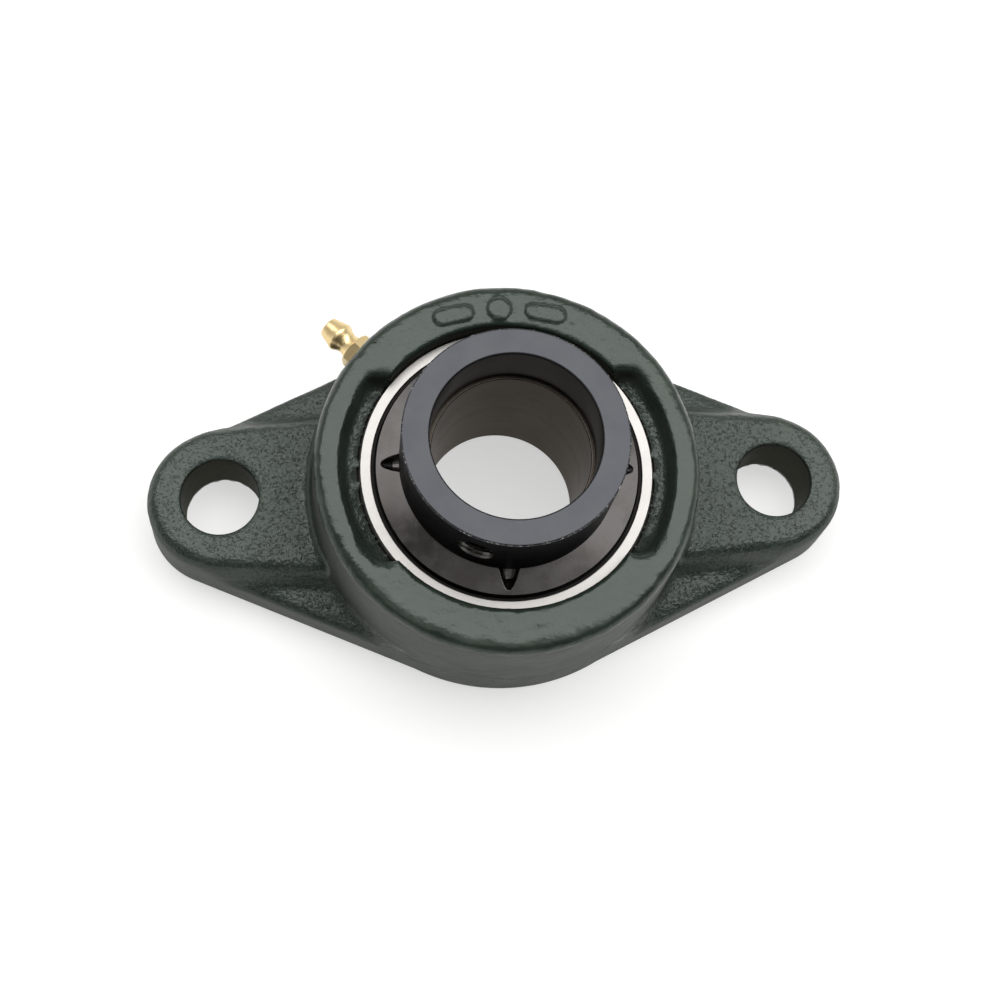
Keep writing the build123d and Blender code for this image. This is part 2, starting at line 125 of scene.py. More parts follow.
# Locking collar and its set screw
COLLAR_R = 22.0
COLLAR_BORE_R = 16.6
COLLAR_LOW_Z = 30.6
COLLAR_TOP_Z = 47.2
SCREW_ANGLE = -112.6
SCREW_Z = 39.5
SCREW_HOLE_R = 3.5
SCREW_HOLE_CHAMFER = 0.75
SCREW_R = 3.45
SCREW_TIP_R = 2.0
SCREW_END_CHAMFER = 0.45
SCREW_TIP_REACH = 16.75
SCREW_CONE_REACH = 18.3
SCREW_END_REACH = 20.7
SCREW_SOCKET_FLATS = 4.0
SCREW_SOCKET_DEPTH = 2.0
THREAD_PITCH = 1.0
THREAD_DEPTH = 0.42
ECCENTRIC_ANGLE = SCREW_ANGLE + 180.0

# Grease nipple, as reaches from the shaft axis along its own radial line
GREASE_ANGLE = 134.5
NIPPLE_SHANK_START = 33.5
NIPPLE_SHANK_R = 2.95
NIPPLE_SEAT_REACH = 38.7
NIPPLE_HEX_FLATS = 7.0
NIPPLE_HEX_HEIGHT = 4.1
NIPPLE_HEX_CHAMFER = 0.42
NIPPLE_TIP_REACH = 50.3
NIPPLE_BORE_R = 1.25
NIPPLE_FEED_R = 0.8
NIPPLE_SPRING_START = 44.0
NIPPLE_THROAT_REACH = 49.3
NIPPLE_MOUTH_REACH = 50.0
# its turned outside, from the hexagon's face over the waist and the coupling head to the tip: radius, reach
NIPPLE_PROFILE = ((2.95, NIPPLE_SEAT_REACH + NIPPLE_HEX_HEIGHT), (2.85, 42.92), (2.62, 43.4), (2.45, 43.9),
                  (2.36, 44.3), (2.35, 44.6), (2.42, 45.0), (2.62, 45.5), (2.9, 46.0), (3.1, 46.35),
                  (3.2, 46.7), (3.18, 46.95), (3.05, 47.3), (2.8, 48.1), (2.52, 49.2), (2.3, 50.0),
                  (2.2, 50.18), (2.1, 50.27), (2.0, NIPPLE_TIP_REACH))

# How finely pieces are divided: columns round large, middling and small ones, points along an arc, steps in
# a rounded corner, the short straight at each end of it that holds its shading, and rows and flute columns
FINE = 192
MEDIUM = 96
COARSE = 48
ARC_STEPS = 25
ROUND_STEPS = 5
ROUND_HOLD = 0.06
COLLAR_ROWS = 14
SLINGER_ROWS = 36
FLUTE_COLUMNS = 41
FLUTE_HALF_ANGLE = 6.5
THREAD_STEP = THREAD_PITCH / 12

# Cells along each side of the noise lattice
NOISE_CELLS = 64

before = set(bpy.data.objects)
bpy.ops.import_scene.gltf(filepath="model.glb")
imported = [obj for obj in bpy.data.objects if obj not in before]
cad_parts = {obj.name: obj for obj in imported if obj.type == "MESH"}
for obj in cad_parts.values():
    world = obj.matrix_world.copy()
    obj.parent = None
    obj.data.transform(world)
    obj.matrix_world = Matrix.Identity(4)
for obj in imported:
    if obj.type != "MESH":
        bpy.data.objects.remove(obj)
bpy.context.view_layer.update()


# ---------------------------------------------------------------- mesh helpers

def new_object(name, mesh):
    """An object in the scene for a mesh."""
    made = bpy.data.objects.new(name, mesh)
    bpy.context.scene.collection.objects.link(made)
    return made


def mesh_object(name, points, faces, sharp=35.0):
    """An object from points in mm and faces; edges steeper than sharp degrees stay sharp."""
    mesh = bpy.data.meshes.new(name)
    mesh.from_pydata([tuple(p) for p in np.asarray(points, float) * MM], [], faces)
    mesh.update()
    shade(mesh, sharp)
    return new_object(name, mesh)


def shade(mesh, sharp):
    """Shade a mesh smooth, apart from edges steeper than sharp degrees."""
    mesh.polygons.foreach_set("use_smooth", [True] * len(mesh.polygons))
    mesh.set_sharp_from_angle(angle=math.radians(sharp))


def read_rows(items, name, width, kind=float):
    """One property of a mesh's points, edges or faces, as a table with a row for each."""
    flat = np.empty(len(items) * width, dtype=kind)
    items.foreach_get(name, flat)
    return flat.reshape(-1, width)


def read_points(mesh):
    """A mesh's points, in mm."""
    return read_rows(mesh.vertices, "co", 3) / MM


def write_points(mesh, points):
    """Put points in mm back in a mesh."""
    mesh.vertices.foreach_set("co", (points * MM).ravel())
    mesh.update()


def apply_modifiers(piece):
    """Give a piece the mesh that its modifiers make."""
    shape = piece.evaluated_get(bpy.context.evaluated_depsgraph_get())
    mesh = bpy.data.meshes.new_from_object(shape)
    piece.modifiers.clear()
    piece.data = mesh


def cut_out(piece, cutter):
    """Cut one closed mesh out of another and drop the cutter."""
    boolean = piece.modifiers.new("cut", "BOOLEAN")
    boolean.operation = "DIFFERENCE"
    boolean.solver = "EXACT"
    boolean.object = cutter
    apply_modifiers(piece)
    bpy.data.objects.remove(cutter)


def rounded(corners):
    """A closed profile from (radius, height, round) corners, with arcs in place of the corners."""
    points = []
    count = len(corners)
    for i, (r, z, size) in enumerate(corners):
        here = np.array((r, z), float)
        back = np.array(corners[i - 1][:2], float) - here
        ahead = np.array(corners[(i + 1) % count][:2], float) - here
        back_length = np.linalg.norm(back)
        ahead_length = np.linalg.norm(ahead)
        back /= back_length
        ahead /= ahead_length
        if not size:
            points.append(here)
            continue
        half = math.acos(np.clip(back @ ahead, -1, 1)) / 2
        reach = min(size / math.tan(half), 0.45 * back_length, 0.45 * ahead_length)
        radius = reach * math.tan(half)
        middle = here + (back + ahead) / np.linalg.norm(back + ahead) * radius / math.sin(half)
        start = here + back * reach
        end = here + ahead * reach
        points.append(start + back * min(ROUND_HOLD, 0.04 * back_length))
        for k in range(ROUND_STEPS + 1):
            share = k / ROUND_STEPS
            spoke = (start - middle) * (1 - share) + (end - middle) * share
            points.append(middle + spoke / np.linalg.norm(spoke) * radius)
        points.append(end + ahead * min(ROUND_HOLD, 0.04 * ahead_length))
    return np.array(points)


def arc(centre, radius, start, end, steps):
    """Profile corners along an arc, from one angle in degrees to another."""
    turns = np.radians(np.linspace(start, end, steps))
    return [(centre[0] + radius * math.cos(t), centre[1] + radius * math.sin(t), 0) for t in turns]


def turns_round(count, extra=()):
    """Evenly spaced angles in radians, plus extra ones in degrees."""
    angles = set(np.round(np.linspace(0, 360, count, endpoint=False), 4))
    angles |= {round(a % 360.0, 4) for a in extra}
    return np.radians(sorted(angles))


def swept(name, profile, turns, shift=None, sharp=35.0):
    """A ring-shaped solid: a closed profile swept round Z; shift(points) moves its points."""
    rows = len(profile)
    r = profile[:, 0][None, :]
    z = profile[:, 1][None, :]
    t = turns[:, None]
    points = np.stack([r * np.cos(t), r * np.sin(t), z + 0 * t], axis=-1).reshape(-1, 3)
    if shift:
        points = shift(points)
    faces = []
    columns = len(turns)
    for i in range(columns):
        j = (i + 1) % columns
        for k in range(rows):
            m = (k + 1) % rows
            faces.append((i * rows + k, j * rows + k, j * rows + m, i * rows + m))
    piece = mesh_object(name, points, faces, sharp)
    outward(piece)
    return piece


def outward(piece):
    """Turn all faces of a closed mesh outwards."""
    work = bmesh.new()
    work.from_mesh(piece.data)
    bmesh.ops.recalc_face_normals(work, faces=work.faces)
    work.to_mesh(piece.data)
    work.free()


def column(name, rows, radius, turns):
    """A closed upright solid: rows are heights, radius(turns, height) its outline at each."""
    count = len(turns)
    points = []
    for height in rows:
        r = radius(turns, height)
        points += list(np.stack([r * np.cos(turns), r * np.sin(turns), np.full(count, height)], axis=-1))
    faces = []
    for k in range(len(rows) - 1):
        for i in range(count):
            j = (i + 1) % count
            faces.append((k * count + i, k * count + j, (k + 1) * count + j, (k + 1) * count + i))
    faces.append(tuple(range(count))[::-1])
    faces.append(tuple(range((len(rows) - 1) * count, len(rows) * count)))
    return mesh_object(name, points, faces)


def round_outline(radius):
    """The outline of a plain column: the same radius at every angle and height."""
    return lambda turns, height: np.full(len(turns), radius)


def lay_radially(piece, angle, height):
    """Turn a piece built along +Z so that it points outwards at an angle, at a height."""
    turn = math.radians(angle)
    outwards = np.array((math.cos(turn), math.sin(turn), 0))
    sideways = np.array((-math.sin(turn), math.cos(turn), 0))
    points = read_points(piece.data)
    up = np.array((0, 0, 1.0))
    laid = points[:, :1] * sideways + points[:, 1:2] * up + points[:, 2:] * outwards
    laid[:, 2] += height
    write_points(piece.data, laid)
    return piece


def step(low, high, value):
    """0 below low, 1 above high, smooth between."""
    t = np.clip((value - low) / (high - low), 0, 1)
    return t * t * (3 - 2 * t)


LATTICE = np.random.default_rng(11).uniform(-1, 1, (NOISE_CELLS,) * 3)


def lumps(points, size, offset=0.0):
    """Smooth noise between -1 and 1 at points, with lumps about size mm across."""
    place = points / size + offset
    cell = np.floor(place).astype(int)
    share = place - cell
    share = share * share * (3 - 2 * share)
    total = np.zeros(len(points))
    for dx in (0, 1):
        for dy in (0, 1):
            for dz in (0, 1):
                corner = (cell + (dx, dy, dz)) % NOISE_CELLS
                weight = np.abs((1 - dx, 1 - dy, 1 - dz) - share).prod(axis=1)
                total += weight * LATTICE[corner[:, 0], corner[:, 1], corner[:, 2]]
    return total


def store(mesh, name, values):
    """Keep a number per point under a name, for the materials."""
    layer = mesh.attributes.new(name, "FLOAT", "POINT")
    layer.data.foreach_set("value", np.asarray(values, dtype=np.float32))


# ---------------------------------------------------------------- housing

def neighbour_means(values, edges):
    """The mean of each point's neighbours' values, for one or three values per point."""
    count = len(values)
    flat = values.reshape(count, -1)
    total = np.zeros(flat.shape)
    for axis in range(flat.shape[1]):
        total[:, axis] = (np.bincount(edges[:, 0], flat[edges[:, 1], axis], count)
                          + np.bincount(edges[:, 1], flat[edges[:, 0], axis], count))
    return (total / np.bincount(edges.ravel(), minlength=count)[:, None]).reshape(values.shape)


def evened(points, edges, pulls, weight=1.0):
    """Move each point towards its neighbours' mean, once for each pull; a negative pull moves it away."""
    for pull in pulls:
        points = points + (neighbour_means(points, edges) - points) * pull * weight
    return points


def outline_gap(x, y):
    """How far points lie outside the flange's outline at its foot (inside is negative), and the way out."""
    along = np.abs(x)
    across = np.abs(y)
    ear = HOLE_PITCH / 2
    fall = (FLANGE_WAIST_R - EAR_R) / ear
    rise = math.sqrt(1 - fall ** 2)
    place = along * rise - across * fall
    r = np.maximum(np.hypot(along, across), 1e-6)
    from_ear = np.maximum(np.hypot(along - ear, across), 1e-6)
    gap = along * fall + across * rise - FLANGE_WAIST_R
    out = np.stack([np.full(len(x), fall), np.full(len(x), rise)], axis=-1)
    at_ear = place > ear * rise
    gap = np.where(at_ear, from_ear - EAR_R, gap)
    out[at_ear] = (np.stack([along - ear, across], axis=-1) / from_ear[:, None])[at_ear]
    at_boss = (place < 0) | (r - BOSS_R < gap)
    gap = np.where(at_boss, r - BOSS_R, gap)
    out[at_boss] = (np.stack([along, across], axis=-1) / r[:, None])[at_boss]
    return gap, out * np.stack([np.where(x < 0, -1.0, 1.0), np.where(y < 0, -1.0, 1.0)], axis=-1)


def measured(points):
    """Each point's coordinates, its reach from the shaft axis and its distance from the nearer bolt hole."""
    x, y, z = points.T
    r = np.hypot(x, y)
    hole = np.hypot(np.abs(x) - HOLE_PITCH / 2, y)
    return SimpleNamespace(x=x, y=y, z=z, r=r, hole=hole)


def softened_roots(points, edges):
    """The corners between the pads, the webs and the boss, softened."""
    at = measured(points)
    beside_boss = at.r > BOSS_R - 1.5
    root = (at.z > WEB_HEIGHT - 0.6) & (at.z < FLANGE_HEIGHT - 0.25) & beside_boss
    root &= at.hole > BOLT_HOLE_R + 2
    root |= (at.z > FLANGE_HEIGHT - 1) & (at.z < FLANGE_HEIGHT + 4) & beside_boss & (at.r < BOSS_R + 4)
    soft = neighbour_means(root.astype(float), edges)
    return evened(points, edges, ROOT_SOFTENING, soft[:, None])


def with_steep_marks(points):
    """The foundry marks on the face, with steeper sides than the voxels gave them."""
    at = measured(points)
    raised = (at.z > HOUSING_HEIGHT + 0.02) & (at.r < BOSS_R)
    share = (at.z[raised] - HOUSING_HEIGHT) / MARK_HEIGHT
    points[raised, 2] = HOUSING_HEIGHT + MARK_HEIGHT * step(0.2, 0.75, share)
    return points


def with_cast_recesses(points, edges):
    """The recess floors run further out before their walls turn up, and their ends are rounded."""
    at = measured(points)
    low = np.clip((HOUSING_HEIGHT - at.z) / (HOUSING_HEIGHT - RECESS_FLOOR_Z), 0, 1)
    spread = step(BORE_R, RECESS_FLOOR_R, at.r) * (1 - step(RECESS_TOP_R - 0.6, RECESS_TOP_R + 0.8, at.r))
    spread *= low * (at.z > RECESS_FLOOR_Z - 0.7)
    spread *= 1 - step(RECESS_FLOOR_HALF, RECESS_TOP_HALF, np.abs(at.y))
    points[:, :2] *= (1 + RECESS_FLOOR_SPREAD * spread / np.maximum(at.r, 1))[:, None]

    at = measured(points)
    across = np.abs(at.y)
    end = step(13.5, 16.5, across) * (1 - step(20.5, 22.0, across)) * np.where(at.y < 0, 1.0, 0.45)
    end *= step(BORE_R + 0.3, BORE_R + 1.2, at.r) * (1 - step(35.0, 36.5, at.r))
    end *= at.z > RECESS_FLOOR_Z - 0.6
    return evened(points, edges, END_ROUNDING, end[:, None])


def surfaces(at):
    """Which points lie on each machined surface, on the recess floors and round the bolt holes' mouths."""
    near = MACHINED_REACH
    ball = np.hypot(at.r, at.z - CENTRE_HEIGHT)
    floor = (np.abs(at.y) < RECESS_FLOOR_HALF) & (np.abs(at.z - RECESS_FLOOR_Z) < 0.55)
    floor &= (at.r > BORE_R - 0.25) & (at.r < RECESS_FLOOR_R + RECESS_FLOOR_SPREAD)
    hole = (np.abs(at.hole - BOLT_HOLE_R) < near) & (at.z > near) & (at.z < FLANGE_HEIGHT - 0.1)
    bore = (np.abs(at.r - BORE_R) < near) & (at.z > 24.5) & (at.z < HOUSING_HEIGHT - 1.6 * near) & ~floor
    seat = (np.abs(ball - RING_SPHERE_R) < 1.5 * near) & (at.z < RECESS_FLOOR_Z - 0.2) & ~floor
    back = at.z < near
    inside = (at.r < 33.6) & (at.z < RECESS_FLOOR_Z - 0.8) & ~floor
    lip = ~hole & (at.hole < BOLT_HOLE_R + 1.2) & (at.z > FLANGE_HEIGHT - 0.7)
    return SimpleNamespace(floor=floor, hole=hole, bore=bore, seat=seat, back=back, inside=inside, lip=lip,
                           machined=hole | bore | seat | back | inside)


def sand_grain(at, on, edges):
    """Each point's sand roughness, whether it is on a recess wall and how near the boss on a pad's flank."""
    slope = (at.r < 34.5) & (np.abs(at.y) < RECESS_TOP_HALF + 0.5) & ~on.bore & ~on.floor
    slope &= (at.z > RECESS_FLOOR_Z - 0.7) & (at.z < HOUSING_HEIGHT - 1.0)
    face = (at.z > HOUSING_HEIGHT - 0.6) & (at.r < BOSS_R)
    wall = (at.r > 36.5) & (at.r < 41.5) & (at.z > 11) & ~face
    between = (at.z > WEB_HEIGHT + 0.7) & (at.z < FLANGE_HEIGHT - 0.8)
    flank = between & (at.r > 41.5)
    foot = (at.z < WEB_HEIGHT - 0.8) & (at.r > 33)
    towards_boss = 1 - step(42, 70, np.abs(at.x))
    grain = 0.62 + 0.45 * towards_boss
    for where, amount in ((wall, 0.30), (face, 0.20 + 0.12 * step(-10, 30, at.y)), (slope, 0.22),
                          (on.floor, 0.85), (flank, 0.35 + 0.65 * towards_boss), (foot, 0.35),
                          (on.machined, 0.0)):
        grain = np.where(where, amount, grain)
    for _ in range(3):
        grain = 0.5 * grain + 0.5 * neighbour_means(grain, edges)
    return grain, slope, flank * towards_boss


def skin_lumps(points, kind):
    """One kind of lumps in the skin: their height in mm at each point."""
    height, size, offset = kind
    return height * lumps(points, size, offset)


def sand_skin(points, at, on, grain):
    """How far the sand-cast skin stands out at each point, in mm; nothing on machined surfaces."""
    edge = (at.z > HOUSING_HEIGHT - 3) & (at.r > 36.3)
    edge |= (at.z > HOUSING_HEIGHT - 1.2) & (np.abs(at.r - RECESS_TOP_R) < 1.2)
    edge |= (at.z > HOUSING_HEIGHT - 0.8) & (at.r < BORE_R + 1.5)
    skin = skin_lumps(points, BROAD_LUMPS)
    skin += skin_lumps(points, SAND_LUMPS) * np.clip(grain, 0.2, 1)
    skin += skin_lumps(points, FINE_LUMPS) * grain
    skin += skin_lumps(points, EDGE_LUMPS) * edge
    skin += skin_lumps(points, FLOOR_LUMPS) * on.floor
    skin *= 1 - step(0.0, 1.0, BOLT_HOLE_R + 1.2 - at.hole)
    skin *= np.where(at.r > 34, step(0.4, 3.0, at.z), 1.0)
    return skin * ~on.machined


def true_bores(points, at, on):
    """Make the insert's bore, its rims at the recess floors and its spherical seat true."""
    scale = BORE_R / np.maximum(at.r, 1e-6)
    rim = on.floor & (at.r < BORE_R + 0.35)
    for where in (on.bore, rim):
        points[where, :2] *= scale[where, None]
    points[rim, 2] = RECESS_FLOOR_Z
    middle = np.array((0, 0, CENTRE_HEIGHT))
    out = points[on.seat] - middle
    points[on.seat] = middle + out / np.linalg.norm(out, axis=1)[:, None] * SEAT_SPHERE_R


def true_holes(points, at, on, corners):
    """Make the bolt holes round, each with a small chamfer at its mouth."""
    beside_hole = np.zeros(len(points), bool)
    beside_hole[corners[on.hole[corners].any(axis=1)]] = True
    reach = np.maximum(at.hole, BOLT_HOLE_R + 2 * HOLE_CHAMFER)
    reach[beside_hole] = BOLT_HOLE_R + HOLE_CHAMFER
    reach[on.hole] = BOLT_HOLE_R
    for side in (-1, 1):
        mine = (on.hole | on.lip) & (np.sign(at.x) == side)
        centre = np.array((side * HOLE_PITCH / 2, 0.0))
        spoke = points[mine, :2] - centre
        points[mine, :2] = centre + spoke / np.linalg.norm(spoke, axis=1)[:, None] * reach[mine, None]
    points[on.lip, 2] = FLANGE_HEIGHT
    points[on.hole & (at.z > FLANGE_HEIGHT - 0.65), 2] = FLANGE_HEIGHT - HOLE_CHAMFER


def true_foot(points, at, on):
    """Make the back flat and its edge follow the flange's outline, with a small chamfer."""
    points[:, 2] = np.maximum(np.where(on.back, 0.0, points[:, 2]), 0.0)
    gap, out = outline_gap(points[:, 0], points[:, 1])
    target = np.where(on.back, np.minimum(gap, -FOOT_CHAMFER), gap)
    target = np.where(~on.back & (at.z < FOOT_ROW) & (gap > -2 * FOOT_CHAMFER), -FOOT_DRAFT, target)
    points[:, :2] += out * (target - gap)[:, None]


def cast_housing():
    """The casting, with soft as-cast edges and an uneven sand-cast skin; and its faces' material numbers."""
    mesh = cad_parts["housing"].data.copy()
    piece = new_object("cast_housing", mesh)
    remesh = piece.modifiers.new("cast", "REMESH")
    remesh.mode = "VOXEL"
    remesh.voxel_size = CAST_VOXEL * MM
    remesh.use_smooth_shade = True
    apply_modifiers(piece)
    mesh = piece.data
    points = read_points(mesh)
    edges = read_rows(mesh.edges, "vertices", 2, np.int32)
    corners = read_rows(mesh.polygons, "vertices", 4, np.int32)

    # even out the voxel steps, then give the casting the shapes that sand leaves
    points = evened(points, edges, VOXEL_EVENING)
    points = softened_roots(points, edges)
    points = with_steep_marks(points)
    points = with_cast_recesses(points, edges)

    # find the machined surfaces again, roughen the rest and make the machined ones true
    at = measured(points)
    on = surfaces(at)
    grain, slope, near_flank = sand_grain(at, on, edges)
    normals = read_rows(mesh.vertices, "normal", 3)
    points = points + normals * sand_skin(points, at, on, grain)[:, None]
    true_bores(points, at, on)
    true_holes(points, at, on, corners)
    true_foot(points, at, on)
    write_points(mesh, points)

    # what the paint needs to know: where it is painted greyer as a reflection of the floor, dull, grainy or
    # missing
    up = normals[:, 2]
    # outer walls facing sideways and downwards get a greyer colour, a painted reflection of the floor
    painted_floor_sheen = np.clip((0.35 - up) / 0.2, 0, 1) * (at.r > 36) * ~on.machined
    dull = np.clip((0.75 - up) / 0.3, 0, 1) * (at.r > 41) * ~on.machined * (1 - 0.75 * near_flank)
    dull = np.maximum(np.maximum(dull, painted_floor_sheen), 0.8 * slope)
    store(mesh, "painted_floor_sheen", 0.5 * (painted_floor_sheen + neighbour_means(painted_floor_sheen, edges)))
    store(mesh, "dull", 0.5 * (dull + neighbour_means(dull, edges)))
    store(mesh, "grain", grain)
    store(mesh, "bare", (on.back | on.seat | (on.inside & ~on.bore)).astype(float))
    in_cores = (on.hole | on.bore)[corners].sum(axis=1) > 2
    return piece, in_cores.astype(np.int32)


# ---------------------------------------------------------------- rings

def outer_ring():
    """The outer ring: ground spherical outside, race inside, a seal step at each end."""
    high = RING_HIGH_Z
    low = RING_LOW_Z
    lift = math.degrees(math.asin((high - CENTRE_HEIGHT - RING_EDGE_DROP) / RING_SPHERE_R))
    race_x = PITCH_R + BALL_R + RACE_PLAY - RACE_R
    spread = math.degrees(math.acos((OUTER_LAND_R - race_x) / RACE_R))
    edge = RING_FACE_R + RING_EDGE
    corners = [(SEAL_BORE_R, low, 0.15), (edge, low, 0.1)]
    corners += arc((0, CENTRE_HEIGHT), RING_SPHERE_R, -lift, lift, ARC_STEPS)
    corners += [(edge, high, 0.1), (SEAL_BORE_R, high, 0.15)]
    corners += [(SEAL_BORE_R, high - SEAL_STEP_DEPTH, 0), (OUTER_LAND_R, high - SEAL_STEP_DEPTH, 0)]
    corners += arc((race_x, CENTRE_HEIGHT), RACE_R, spread, -spread, ARC_STEPS)
    corners += [(OUTER_LAND_R, low + SEAL_STEP_DEPTH, 0), (SEAL_BORE_R, low + SEAL_STEP_DEPTH, 0)]
    return swept("ground_outer_ring", rounded(corners), turns_round(FINE))


def shifted_off_axis(points, moves):
    """Move the chosen points from the shaft axis to the eccentric's axis."""
    turn = math.radians(ECCENTRIC_ANGLE)
    points[moves] += (ECCENTRICITY * math.cos(turn), ECCENTRICITY * math.sin(turn), 0)
    return points


def inner_ring():
    """The inner ring: bore, race, shoulders and the eccentric stub that the collar grips."""
    race_x = PITCH_R - BALL_R - RACE_PLAY + RACE_R
    spread = math.degrees(math.acos((race_x - SHOULDER_R) / RACE_R))
    corners = [(SHAFT_R, INNER_BACK_Z, 0.3), (SHOULDER_R, INNER_BACK_Z, 0.5)]
    corners += arc((race_x, CENTRE_HEIGHT), RACE_R, 180 + spread, 180 - spread, ARC_STEPS)
    corners += [(SHOULDER_R, SHOULDER_END_Z, 0.25), (STUB_R, SHOULDER_END_Z, 0),
                (STUB_R, INNER_FRONT_Z, 0.3), (SHAFT_R, INNER_FRONT_Z, 0.25)]

    def eccentric(points):
        """Move the stub alone off the shaft's axis."""
        reach = np.hypot(points[:, 0], points[:, 1])
        on_stub = (reach > STUB_R - 0.6) & (reach < STUB_R + 0.01) & (points[:, 2] > SHOULDER_END_Z - 0.01)
        return shifted_off_axis(points, on_stub)

    return swept("inner_ring_with_stub", rounded(corners), turns_round(FINE), eccentric)


def flute_depth(reach, turn):
    """How deep the pressed flutes are at a reach and angle: steep flanks, rounded nose."""
    pitch = 2 * math.pi / FLUTE_COUNT
    off = (turn - math.radians(FLUTE_ANGLE) + pitch / 2) % pitch - pitch / 2
    beside = np.abs(reach * np.sin(off))
    along = np.clip((FLUTE_END - reach) / (FLUTE_END - FLUTE_START), 0, 1.2)
    half = FLUTE_HALF_WIDTH * along ** 0.5 + 1e-6
    across = np.clip(1 - (beside / half) ** 2.2, 0, 1) ** 0.75
    return FLUTE_DEPTH * np.clip(along * 1.6, 0, 1) ** 0.8 * across * (reach > SLINGER_HUB_R)


def slinger():
    """The front slinger: a dished pressed disc on a short hub, with tapered flutes."""
    fall = (SLINGER_TOP_Z - SLINGER_RIM_Z) / (SLINGER_R - SLINGER_HUB_R)
    reaches = np.linspace(SLINGER_HUB_R + 0.1, SLINGER_R - 0.3, SLINGER_ROWS)
    top = [(r, SLINGER_TOP_Z - (r - SLINGER_HUB_R) * fall, 0) for r in reaches]
    under = [(r, z - SLINGER_SHEET, 0) for r, z, _ in top]
    corners = [(SLINGER_HUB_IN, SLINGER_HUB_LOW_Z, 0.1), (SLINGER_HUB_R, SLINGER_HUB_LOW_Z, 0.1)]
    corners += under
    corners += [(SLINGER_R, SLINGER_RIM_Z - SLINGER_SHEET, 0.25), (SLINGER_R, SLINGER_RIM_Z, 0.3)]
    corners += top[::-1]
    corners += [(SLINGER_HUB_IN, SLINGER_TOP_Z, 0.2)]
    near = []
    beside_flute = np.linspace(-FLUTE_HALF_ANGLE, FLUTE_HALF_ANGLE, FLUTE_COLUMNS)
    for index in range(FLUTE_COUNT):
        near += list(FLUTE_ANGLE + 360.0 / FLUTE_COUNT * index + beside_flute)

    def pressed(points):
        """Press the flutes down into the disc."""
        reach = np.hypot(points[:, 0], points[:, 1])
        turn = np.arctan2(points[:, 1], points[:, 0])
        points[:, 2] -= flute_depth(reach, turn)
        return points

    return swept("front_slinger_disc", rounded(corners), turns_round(FINE, near), pressed, sharp=50.0)


def rear_copy(piece, name):
    """The same piece on the other side of the ball row's plane."""
    mesh = piece.data.copy()
    points = read_points(mesh)
    points[:, 2] = 2 * CENTRE_HEIGHT - points[:, 2]
    write_points(mesh, points)
    mesh.flip_normals()
    return new_object(name, mesh)


# ---------------------------------------------------------------- collar and set screw

def thread(turns, height, core):
    """A V thread's radius at each angle at one height."""
    wave = (height / THREAD_PITCH - turns / (2 * math.pi)) % 1.0
    return core + THREAD_DEPTH * (1 - np.abs(2 * wave - 1))


def collar():
    """The locking collar with its eccentric counterbore and tapped hole."""
    rows = np.linspace(COLLAR_TOP_Z - 1.0, COLLAR_LOW_Z + 1.0, COLLAR_ROWS)
    corners = [(COLLAR_BORE_R, COLLAR_LOW_Z, 0.3), (COLLAR_R, COLLAR_LOW_Z, 0.4)]
    corners += [(COLLAR_R, z, 0) for z in rows[::-1]]
    corners += [(COLLAR_R, COLLAR_TOP_Z, 0.4), (COLLAR_BORE_R, COLLAR_TOP_Z, 0.45)]
    corners += [(COLLAR_BORE_R, z, 0) for z in rows]
    body = swept("locking_collar", rounded(corners), turns_round(FINE))
    low = COLLAR_LOW_Z - 1.0
    wide = STUB_R + ECCENTRIC_PLAY
    recess = column("eccentric_cutter", (low, ECCENTRIC_DEPTH_Z), round_outline(wide), turns_round(FINE))
    points = read_points(recess.data)
    write_points(recess.data, shifted_off_axis(points, np.ones(len(points), bool)))
    cut_out(body, recess)
    heights = np.arange(COLLAR_BORE_R - 3, COLLAR_R + 3, THREAD_STEP)

    def tapped(turns, height):
        """The tapped hole, with a chamfer where it meets the collar's outside."""
        mouth = SCREW_HOLE_R + np.clip(height - COLLAR_R + SCREW_HOLE_CHAMFER, 0, None)
        return np.maximum(thread(turns, height, SCREW_HOLE_R), mouth)

    cutter = column("thread_cutter", heights, tapped, turns_round(MEDIUM))
    cut_out(body, lay_radially(cutter, SCREW_ANGLE, SCREW_Z))
    shade(body.data, 32.0)
    return body


def tapped_faces(mesh):
    """1 for each face of the collar that lies in its tapped hole, 0 for the others."""
    turn = math.radians(SCREW_ANGLE)
    x, y, z = (read_rows(mesh.polygons, "center", 3) / MM).T
    reach = x * math.cos(turn) + y * math.sin(turn)
    beside = np.hypot(y * math.cos(turn) - x * math.sin(turn), z - SCREW_Z)
    inside = (beside < SCREW_HOLE_R + 0.7) & (reach > COLLAR_BORE_R) & (np.hypot(x, y) < COLLAR_R - 0.05)
    return inside.astype(np.int32)


def set_screw():
    """The socket screw with its coned point, threaded along its whole length."""
    rows = list(np.arange(SCREW_TIP_REACH, SCREW_END_REACH, THREAD_STEP)) + [SCREW_END_REACH]

    def outline(turns, height):
        """The thread, cut down by the point's cone and by the chamfer at the socket's end."""
        share = (height - SCREW_TIP_REACH) / (SCREW_CONE_REACH - SCREW_TIP_REACH)
        cone = SCREW_TIP_R + share * (SCREW_R - SCREW_TIP_R)
        end = SCREW_R - SCREW_END_CHAMFER + (SCREW_END_REACH - height)
        return np.minimum(np.minimum(thread(turns, height, SCREW_R - THREAD_DEPTH), cone), end)

    screw = column("threaded_screw", rows, outline, turns_round(MEDIUM))
    corner = SCREW_SOCKET_FLATS / 2 / math.cos(math.radians(30))
    depth = (SCREW_END_REACH - SCREW_SOCKET_DEPTH, SCREW_END_REACH + 1)
    cut_out(screw, column("socket_cutter", depth, round_outline(corner), turns_round(6)))
    shade(screw.data, 30.0)
    return lay_radially(screw, SCREW_ANGLE, SCREW_Z)


# ---------------------------------------------------------------- grease nipple

def hexagon(turns, flats):
    """A hexagon's outline: the reach at each angle."""
    sixth = math.radians(60)
    return flats / 2 / np.cos((turns + sixth / 2) % sixth - sixth / 2)


